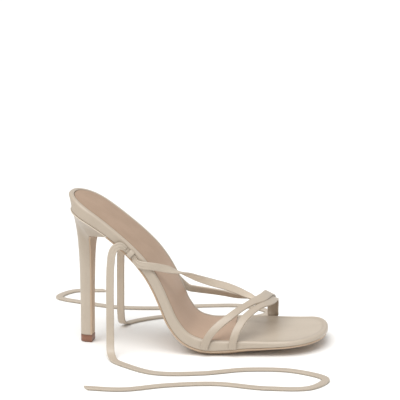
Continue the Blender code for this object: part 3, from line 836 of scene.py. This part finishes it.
def breast_cover_shape(bed):
    """Thin cover down the heel's breast, from under the seat's lip to the top piece."""
    top, forward, _, _ = seat_loop(bed)
    ahead, side = heel_frame()
    foot = TOP_PIECE_TALL + GAP
    levels = np.concatenate([np.linspace(*BREAST_STEM_LEVELS), np.linspace(*BREAST_FLARE_LEVELS)])
    _, front, half = heel_size(levels)
    tall = foot + levels * (top[forward > BREAST_FRONT, 2].min() - foot)
    profile = np.stack([front, tall], -1)
    way = unit(np.gradient(profile, axis=0))
    out = np.stack([way[:, 1], -way[:, 0]], -1)
    near, far = GAP * BREAST_SINK, GAP + BREAST_COVER_THICK
    half_round = (
        (far - BREAST_EDGE_DEEP, 1.0),
        (far - BREAST_EDGE_EASE, BREAST_EDGE_REACH),
        (far, BREAST_FACE_REACH),
    )
    back = [(near, -1.0), (near, 1.0)]
    front_face = [*half_round, (far, 0.0), *((d, -reach) for d, reach in half_round[::-1])]
    corners = back + front_face
    rings = []
    for k in range(len(levels)):
        ring = []
        for distance, reach in corners:
            u, z = profile[k] + out[k] * distance
            ring.append(ahead * u + side * half[k] * reach + np.array([0.0, 0.0, max(z, foot)]))
        rings.append(np.array(ring))
    # Painted shade on the cover's back against the heel
    shade = [BREAST_BACK_SHADE] * len(back) + [0.0] * len(front_face)
    return tube(rings), np.tile(shade, len(levels))


def tube(rings):
    """Vertices and faces of a body through rings of the same number of points, closed at both ends."""
    count = len(rings[0])
    faces = [list(range(count))[::-1]]
    for level in range(len(rings) - 1):
        for k in range(count):
            after = (k + 1) % count
            a, b = level * count, (level + 1) * count
            faces.append([a + k, a + after, b + after, b + k])
    faces.append([(len(rings) - 1) * count + k for k in range(count)])
    return np.concatenate(rings), faces


def strap_profile(thick):
    """Section of a folded strap: places across as shares of its half width, corner offsets and heights."""
    r = STRAP_CORNER
    b = thick / 2
    flat = np.linspace(-1.0, 1.0, STRAP_FLAT_POINTS)
    turn = np.radians(np.linspace(-90.0, 90.0, STRAP_TURN_POINTS))
    share, offset, height = list(flat), [0.0] * len(flat), [-b] * len(flat)
    lean = np.where(turn < 0, -b + r, b - r)
    for a, middle in zip(turn[1:-1], lean[1:-1]):
        share.append(1.0)
        offset.append(r * math.cos(a))
        height.append(middle + r * math.sin(a))
    for u in flat[::-1]:
        share.append(u)
        offset.append(0.0)
        height.append(b + STRAP_DOME * (1 - u * u))
    for a, middle in zip(turn[1:-1][::-1], lean[1:-1][::-1]):
        share.append(-1.0)
        offset.append(-r * math.cos(a))
        height.append(middle + r * math.sin(a))
    return np.array(share), np.array(offset), np.array(height)


def band(points, normals, wide, thick, folds=None, curl=None, slant=None, face=0.0, lining=1.0):
    """Folded strap along a line, with the shade of its points.

    folds, curl and slant are its gathers, upturn and end cut along it. face and lining are the
    painted shades of its outer side and its reverse. A lining above zero darkens the reverse for its
    darker lining and for painted shade; one below zero paints the reverse lighter as painted light.
    """
    way = unit(np.gradient(points, axis=0))
    facing = square_to(way, normals)
    broad = np.cross(way, facing)
    share, offset, height = strap_profile(thick)
    wide = np.broadcast_to(wide, len(points))
    face = np.repeat(np.broadcast_to(face, len(points)), len(share))
    none = np.zeros(len(points))
    folds, curl, slant = (none if v is None else v for v in (folds, curl, slant))
    rings = []
    for k in range(len(points)):
        u = share * (wide[k] / 2 - STRAP_CORNER) + offset
        place = u / (wide[k] / 2)
        v = height + folds[k] * np.cos(np.pi * GATHER_FOLDS * place) + curl[k] * place**2
        cut = slant[k] * u
        rings.append(points[k] + np.outer(u, broad[k]) + np.outer(v, facing[k]) + np.outer(cut, way[k]))
    # Painted shade on the strap's turned edges, weaker on the ties
    turned = (abs(offset) - STRAP_EDGE_FROM) / (STRAP_CORNER - STRAP_EDGE_FROM)
    side_shade = np.clip(turned, 0.0, 1.0) * STRAP_EDGE_SHADE * max(lining, TIE_EDGE_SHADE)
    # The reverse takes the lining's shade, the rest the larger of the face's painted shade and the edges'
    # painted shade
    under = np.tile((offset == 0.0) & (height < 0), len(points))
    return tube(rings), np.where(under, lining, np.maximum(face, np.tile(side_shade, len(points))))


def last_point(bed, x, across):
    """Place on the last over the footbed at x and across, with the direction out of it."""
    s = bed.at_x(x)
    half = bed.read("wide", s) / 2 + GAP
    tall = spline(column(LAST, LAST_COLUMNS, "x"), column(LAST, LAST_COLUMNS, "tall"), x)
    inside = np.clip(across, -1.0, 1.0)
    slope = np.sign(inside - LAST_CREST)
    reach = 1.0 - LAST_CREST * slope
    power = np.where(slope < 0, LAST_POWER_LATERAL, LAST_POWER_MEDIAL)
    t = abs(inside - LAST_CREST) / reach
    rise = (1.0 - t**power) ** (1.0 / power)
    drop = (abs(across) - abs(inside)) * (bed.read("thick", s) - bed.read("lift", s))
    place = bed.point(s, inside * half, tall * rise - drop)
    _, side, up = bed.axes(s)
    sideways = slope * t ** (power - 1) / (half * reach)
    upward = rise ** (power - 1) / tall
    out = unit(side * sideways[:, None] + up * upward[:, None])
    return place, out


def strap_shape(bed, table, lift):
    """Toe strap laid on the last along a route, flattened wider and leaning forward over the crest.

    lift raises the strap past the crest.
    """
    x, across = (column(table, STRAP_COLUMNS, n) for n in STRAP_COLUMNS)
    place, out = last_point(bed, x, across)
    low, high = STRAP_LIFT_ACROSS
    raised = lift * np.clip((across - low) / (high - low), 0.0, 1.0)
    middle = place + out * (STRAP_THICK / 2 + raised)[:, None]
    knots = along(middle)
    fine = np.linspace(0.0, knots[-1], STRAP_ROWS)
    line = spline_rows(knots, middle, fine)
    over = spline(knots, across, fine)
    crest = passing(over, CREST_RISE) * passing(over, CREST_FALL)
    lean = np.radians(CREST_LEAN) * crest * passing(over, CREST_LEAN_FALL)
    way = unit(np.gradient(line, axis=0))
    facing = square_to(way, spline_rows(knots, out, fine))
    facing = facing * np.cos(lean)[:, None] + np.cross(way, facing) * np.sin(lean)[:, None]
    wide = STRAP_WIDE + CREST_SPREAD * crest
    # Painted shade on the strap's face, fading out over the crest
    return band(line, facing, wide, STRAP_THICK, face=STRAP_SHADE * (1.0 - crest))


def rim_side(bed, x, side, out, down):
    """Place beside the rim at x: out from its side and down from its top."""
    s = np.asarray(bed.at_x(x), float)
    half = bed.read("wide", s) / 2
    return bed.point(s, side * (half + out), -np.asarray(down, float))


def keeper_shape(bed, side):
    """Small folded bridge on the rim's side that the tie runs under, with painted shade on its edges."""
    thick = bed.read("thick", bed.at_x(KEEPER_X))
    clear = GAP + TIE_THICK + GAP + KEEPER_THICK / 2
    low, high = thick - KEEPER_UP, KEEPER_DOWN
    sunk = GAP * KEEPER_SINK
    route = np.array((
        (sunk, low),
        (clear - KEEPER_TURN, low),
        (clear - KEEPER_CORNER, low - KEEPER_CORNER),
        (clear, low - KEEPER_TURN),
        (clear + KEEPER_BOW, (low + high) / 2),
        (clear, high + KEEPER_TURN),
        (clear - KEEPER_CORNER, high + KEEPER_CORNER),
        (clear - KEEPER_TURN, high),
        (sunk, high),
    ))
    knots = along(route)
    line = spline_rows(knots, route, np.linspace(0.0, knots[-1], KEEPER_ROWS))
    way = unit(np.gradient(line, axis=0))
    turned = np.stack([way[:, 1], -way[:, 0]], -1)
    half, b = KEEPER_WIDE / 2, KEEPER_THICK / 2
    flat, eased, tall = half - KEEPER_EDGE, half - KEEPER_EDGE_EASE, b * KEEPER_EDGE_TALL
    section = (
        (-flat, -b),
        (flat, -b),
        (eased, -tall),
        (half, 0.0),
        (eased, tall),
        (flat, b),
        (0.0, b + KEEPER_DOME),
        (-flat, b),
        (-eased, tall),
        (-half, 0.0),
        (-eased, -tall),
    )
    rings = []
    for k in range(len(line)):
        ring = []
        for x, d in section:
            place = line[k] + turned[k] * d
            ring.append(rim_side(bed, KEEPER_X + x, side, place[0], place[1]))
        rings.append(np.array(ring))
    # Painted shade on the keeper's edges
    sides = [abs(x) > half - KEEPER_SHADE_FROM for x, _ in section]
    return tube(rings), np.tile(sides, len(line)) * KEEPER_SHADE


def route_points(rows, spacings):
    """Line through rows of x, y, z and roll: the part's own points, then read finely between them."""
    rows = np.asarray(rows, float)
    for spacing in spacings:
        knots = along(rows[:, :3])
        fine = np.linspace(0.0, knots[-1], int(knots[-1] / spacing))
        rows = spline_rows(knots, rows, fine)
    return rows[:, :3], rows[:, 3]


def rolled(roll):
    """Direction that a flat side faces for its roll about the shoe's length."""
    a = np.radians(roll)
    return np.stack([0 * a, np.sin(a), np.cos(a)], -1)


def keeper_pass(bed, side, ahead, twist=0.0):
    """Rows of the tie beside the rim at distances ahead of the keeper's middle, twisted so far."""
    rows = []
    for x in ahead:
        down = (bed.read("thick", bed.at_x(KEEPER_X + x)) + KEEPER_DOWN - KEEPER_UP) / 2
        place = rim_side(bed, KEEPER_X + x, side, GAP + TIE_THICK / 2, down)
        rows.append((*place, side * 90.0 + twist))
    return rows


def near_keepers(points, keepers, run):
    """Share from 0 at the keepers to 1 where the tie is free of them, a run further on."""
    apart = np.min([np.linalg.norm(points - np.array(k), axis=1) for k in keepers], 0)
    return np.clip((apart - KEEPER_WIDE) / run, 0.0, 1.0)


def gathered(points, keepers):
    """Width of the tie and depth of its folds along it, gathered at the keepers."""
    wide = TIE_GATHERED + (TIE_WIDE - TIE_GATHERED) * near_keepers(points, keepers, TIE_GATHER_RUN)
    folds = GATHER_DEEP * (1 - passing(near_keepers(points, keepers, FOLD_RUN), (0.0, 1.0)))
    return wide, folds


def tie_front_shape(bed):
    """The tie from the lateral keeper over the vamp and back to the medial keeper."""
    lateral = keeper_pass(bed, -1, TIE_AT_KEEPER)
    medial = keeper_pass(bed, 1, TIE_AT_KEEPER[::-1], TIE_TWIST)
    points, roll = route_points(lateral + list(TIE_OVER_VAMP) + medial, TIE_SPACING)
    keepers = [keeper_pass(bed, side, (0.0,))[0][:3] for side in (-1, 1)]
    wide, folds = gathered(points, keepers)
    return band(points, rolled(roll), wide, TIE_THICK, folds=folds, lining=TIE_REVERSE_PAINTED_LIGHT)


def tie_end_shape(bed, table, side):
    """A free end of the tie, from behind its keeper to the floor and along it, and its line."""
    start = keeper_pass(bed, side, (-TIE_BEHIND - 2 * GAP,))
    points, roll = route_points(start + list(table), END_SPACING)
    points[:, 2] = np.maximum(points[:, 2], TIE_THICK / 2 + END_CLEAR)
    roll = roll * passing(points[:, 2], END_LYING)
    wide, folds = gathered(points, [keeper_pass(bed, side, (0.0,))[0][:3]])
    far = along(points)
    slant = END_SLANT * passing(far, (far[-1] - END_SLANT_RUN, far[-1]))
    curl = END_CURL * passing(far, END_CURL_ALONG)
    shape = band(
        points, rolled(roll), wide, TIE_THICK,
        folds=folds, curl=curl, slant=slant, lining=TIE_REVERSE_PAINTED_LIGHT,
    )
    return shape, points


def stand(bed):
    """How far the part was moved from the shoe's own space, from where its top piece stands."""
    points, _ = tip_outline(bed)
    low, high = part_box("heel_top_piece")
    middle = (np.array(low) + np.array(high)) / 2 / MM
    own = (points.min(0) + points.max(0)) / 2
    return np.array([middle[0] - own[0], middle[1] - own[1], 0.0])


def piece(name, shapes, look, nodes, move):
    """A shown piece of one or more shapes with their painted shades, in place of the part's nodes."""
    points, faces, shades, start = [], [], [], 0
    for (corners, sides), shade in shapes:
        points.append(corners)
        faces += [[start + k for k in side] for side in sides]
        shades.append(np.asarray(shade, float))
        start += len(corners)
    corners = (np.concatenate(points) + move) * MM
    mesh = bpy.data.meshes.new(name)
    mesh.from_pydata([tuple(p) for p in corners], [], faces)
    mesh.polygons.foreach_set("use_smooth", [True] * len(mesh.polygons))
    mesh.set_sharp_from_angle(angle=math.radians(SHARP_ANGLE))
    # Painted shade goes into the shade attribute; below zero it is painted light
    mark = mesh.attributes.new("shade", "FLOAT", "POINT")
    mark.data.foreach_set("value", np.concatenate(shades).astype(np.float32))
    mesh.materials.append(look)
    made = bpy.data.objects.new(name, mesh)
    bpy.context.scene.collection.objects.link(made)
    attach(made, "root")
    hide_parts(*nodes)
    return made


def node(tree, kind, **values):
    """A shader node with some of its inputs set."""
    made = tree.nodes.new(kind)
    for name, value in values.items():
        made.inputs[name.replace("_", " ")].default_value = value
    return made


def mixed(tree, factor, first, second):
    """A colour mixed from two by a factor. Each may be a socket or a plain colour."""
    made = tree.nodes.new("ShaderNodeMix")
    made.data_type = "RGBA"
    tree.links.new(factor, made.inputs["Factor"])
    for value, place in zip((first, second), MIX_COLOURS):
        socket = made.inputs[place]
        if isinstance(value, tuple):
            socket.default_value = (*value, 1.0)
        else:
            tree.links.new(value, socket)
    return made.outputs[MIX_RESULT]


def ranged(tree, value, read, given):
    """A value moved from the range that is read to the one that is given."""
    made = node(
        tree, "ShaderNodeMapRange",
        From_Min=read[0], From_Max=read[1], To_Min=given[0], To_Max=given[1],
    )
    tree.links.new(value, made.inputs["Value"])
    return made.outputs["Result"]


def noise(tree, place, scale, detail=3.0):
    """Noise of so many waves a metre."""
    made = node(tree, "ShaderNodeTexNoise", Scale=scale, Detail=detail, Roughness=NOISE_ROUGH)
    tree.links.new(place, made.inputs["Vector"])
    return made.outputs["Fac"]


def scaled_sum(tree, value, scale, other):
    """A value times a scale, plus another value."""
    made = tree.nodes.new("ShaderNodeMath")
    made.operation = "MULTIPLY_ADD"
    tree.links.new(value, made.inputs[0])
    made.inputs[1].default_value = scale
    tree.links.new(other, made.inputs[2])
    return made.outputs[0]


def leather(name, colour, deep, rough, grain, coat, cell=1150.0, mottle=0.5, pale=None):
    """Smooth faux leather: fine cell grain, soft mottling, darker where shade is painted and paler where
    light is painted.
    """
    look = bpy.data.materials.new(name)
    look.use_nodes = True
    tree = look.node_tree
    shader = tree.nodes["Principled BSDF"]
    place = tree.nodes.new("ShaderNodeTexCoord").outputs["Object"]
    painted = tree.nodes.new("ShaderNodeAttribute")
    painted.attribute_name = "shade"
    shade = painted.outputs["Fac"]

    cloud = noise(tree, place, CLOUD_WAVES, 4.0)
    fleck = noise(tree, place, FLECK_WAVES, 2.0)
    tint = tuple(c * (1 - CLOUD_TINT * mottle) for c in colour)
    base = mixed(tree, ranged(tree, cloud, CLOUD_RANGE, (0.0, 1.0)), colour, tint)
    base = mixed(tree, ranged(tree, fleck, FLECK_RANGE, (0.0, FLECK_TINT * mottle)), base, deep)
    # Painted shade mixes in the deep colour, and painted light, below zero, the pale one
    base = mixed(tree, ranged(tree, shade, (0.0, 1.0), (0.0, PAINTED_DEEP)), base, deep)
    base = mixed(tree, ranged(tree, shade, (-1.0, 0.0), (1.0, 0.0)), base, pale or colour)
    tree.links.new(base, shader.inputs["Base Color"])
    satin = ranged(tree, cloud, ROUGH_RANGE, (rough - ROUGH_VARY, rough + ROUGH_VARY))
    tree.links.new(satin, shader.inputs["Roughness"])

    cells = node(tree, "ShaderNodeTexVoronoi", Scale=cell)
    cells.feature = "SMOOTH_F1"
    tree.links.new(place, cells.inputs["Vector"])
    fine = noise(tree, place, FINE_WAVES, 2.0)
    height = scaled_sum(tree, fine, FINE_TALL, cells.outputs["Distance"])
    swell = scaled_sum(tree, noise(tree, place, SWELL_WAVES, 2.0), SWELL_TALL, height)
    bump = node(tree, "ShaderNodeBump", Strength=grain, Distance=GRAIN_TALL)
    tree.links.new(swell, bump.inputs["Height"])
    tree.links.new(bump.outputs["Normal"], shader.inputs["Normal"])

    shader.inputs["Metallic"].default_value = 0.0
    shader.inputs["Specular IOR Level"].default_value = SPECULAR
    shader.inputs["Coat Weight"].default_value = coat
    shader.inputs["Coat Roughness"].default_value = COAT_ROUGH
    return look


def camera(move):
    """Camera at the photo's angle, turned so that the aim falls at its place in the picture."""
    azimuth, elevation = math.radians(CAMERA_AZIMUTH), math.radians(CAMERA_ELEVATION)
    back = Vector((
        math.sin(azimuth) * math.cos(elevation),
        -math.cos(azimuth) * math.cos(elevation),
        math.sin(elevation),
    ))
    aim = Vector((np.array(CAMERA_AIM) + move) * MM)
    right = Vector((math.cos(azimuth), math.sin(azimuth), 0.0))
    up = back.cross(right)
    turn = Matrix((right, up, back)).transposed()
    pitch = math.atan((AIM_PIXEL[1] - PICTURE / 2) / FOCAL_PIXELS)
    yaw = math.atan((AIM_PIXEL[0] - PICTURE / 2) / FOCAL_PIXELS)
    turn = turn @ Matrix.Rotation(yaw, 3, "Y") @ Matrix.Rotation(pitch, 3, "X")
    lens = bpy.data.cameras.new("camera")
    lens.sensor_width = SENSOR
    lens.lens = FOCAL_PIXELS / PICTURE * SENSOR
    lens.clip_start, lens.clip_end = CLIP
    made = bpy.data.objects.new("camera", lens)
    made.matrix_world = Matrix.Translation(aim + back * CAMERA_FAR * MM) @ turn.to_4x4()
    bpy.context.scene.collection.objects.link(made)
    bpy.context.scene.camera = made


def lamp(name, kind, strength, way, place=(0.0, 0.0, 0.0)):
    """Light of a kind that shines along a way, and its settings."""
    settings = bpy.data.lights.new(name, kind)
    settings.energy = strength
    made = bpy.data.objects.new(name, settings)
    made.location = place
    made.rotation_euler = Vector(way).to_track_quat("-Z", "Y").to_euler()
    bpy.context.scene.collection.objects.link(made)
    return settings


def floor_look():
    """Plain pale floor with a faint drift of tone."""
    look = bpy.data.materials.new("floor")
    look.use_nodes = True
    tree = look.node_tree
    shader = tree.nodes["Principled BSDF"]
    place = tree.nodes.new("ShaderNodeTexCoord").outputs["Object"]
    pale = mixed(tree, noise(tree, place, FLOOR_WAVES), *FLOOR_COLOURS)
    tree.links.new(pale, shader.inputs["Base Color"])
    shader.inputs["Roughness"].default_value = FLOOR_ROUGH
    shader.inputs["Specular IOR Level"].default_value = FLOOR_SPECULAR
    return look


def studio():
    """Pale floor, white surroundings and soft lights."""
    world = bpy.data.worlds.new("studio")
    world.use_nodes = True
    sky = world.node_tree.nodes["Background"]
    sky.inputs["Color"].default_value = SKY
    sky.inputs["Strength"].default_value = SKY_STRENGTH
    bpy.context.scene.world = world
    bpy.context.scene.view_settings.view_transform = "Standard"
    sun = lamp("overhead", "SUN", SUN_STRENGTH, SUN_WAY)
    sun.angle = math.radians(SUN_SPREAD)
    strip = lamp("strip", "AREA", STRIP_WATTS, Vector(STRIP_AIM) - Vector(STRIP_PLACE), STRIP_PLACE)
    strip.shape = "RECTANGLE"
    strip.size, strip.size_y = STRIP_SIZE
    mesh = bpy.data.meshes.new("floor")
    half = FLOOR_HALF
    corners = [(-half, -half), (half, -half), (half, half), (-half, half)]
    mesh.from_pydata([(x, y, -FLOOR_DOWN) for x, y in corners], [], [(0, 1, 2, 3)])
    mesh.materials.append(floor_look())
    floor = bpy.data.objects.new("floor", mesh)
    bpy.context.scene.collection.objects.link(floor)


def main():
    """Camera, materials, the pieces of the shoe and the studio round it."""
    bed = Footbed()
    move = stand(bed)
    camera(move)
    cream = leather(
        "cream_leather", CREAM, CREAM_DEEP,
        rough=0.40, grain=0.30, coat=0.16, pale=CREAM_PAINTED_LIGHT,
    )
    lining = leather(
        "sock_lining", SOCK, SOCK_DEEP,
        rough=0.58, grain=0.45, coat=0.0, cell=1500.0, mottle=0.8, pale=SOCK_LIGHT,
    )
    sheet = leather(
        "sole_sheet", SOLE, SOLE_DEEP,
        rough=0.55, grain=0.5, coat=0.0, cell=900.0, mottle=0.7,
    )
    tip = leather(
        "tip", TIP, TIP_DEEP,
        rough=0.42, grain=0.2, coat=0.1, cell=700.0, mottle=0.6,
    )

    for name, table, side in (
        ("tie_end_lateral", LATERAL_END, -1),
        ("tie_end_medial", MEDIAL_END, 1),
    ):
        shape, line = tie_end_shape(bed, table, side)
        made = piece(name + "_strap", [shape], cream, [name], move)

    piece("footbed_wrap", [footbed_shape(bed)], cream, ["footbed"], move)
    piece("sock_lining", [sock_shape(bed)], lining, ["sock"], move)
    piece("outsole_sheet", [outsole_shape(bed)], sheet, ["outsole"], move)
    piece("heel_cover", [heel_shape(bed)], cream, ["heel"], move)
    piece("breast_strip", [breast_cover_shape(bed)], sheet, ["heel_breast_cover"], move)
    piece("heel_tip", [top_piece_shape(bed)], tip, ["heel_top_piece"], move)
    straps = [strap_shape(bed, FRONT_STRAP, 0.0), strap_shape(bed, REAR_STRAP, STRAP_LIFT)]
    piece("toe_straps", straps, cream, ["upper_straps"], move)
    piece("keeper_loop_lateral", [keeper_shape(bed, -1)], cream, ["keeper_lateral"], move)
    piece("keeper_loop_medial", [keeper_shape(bed, 1)], cream, ["keeper_medial"], move)
    piece("tie_over_vamp", [tie_front_shape(bed)], cream, ["tie_front"], move)
    studio()


main()
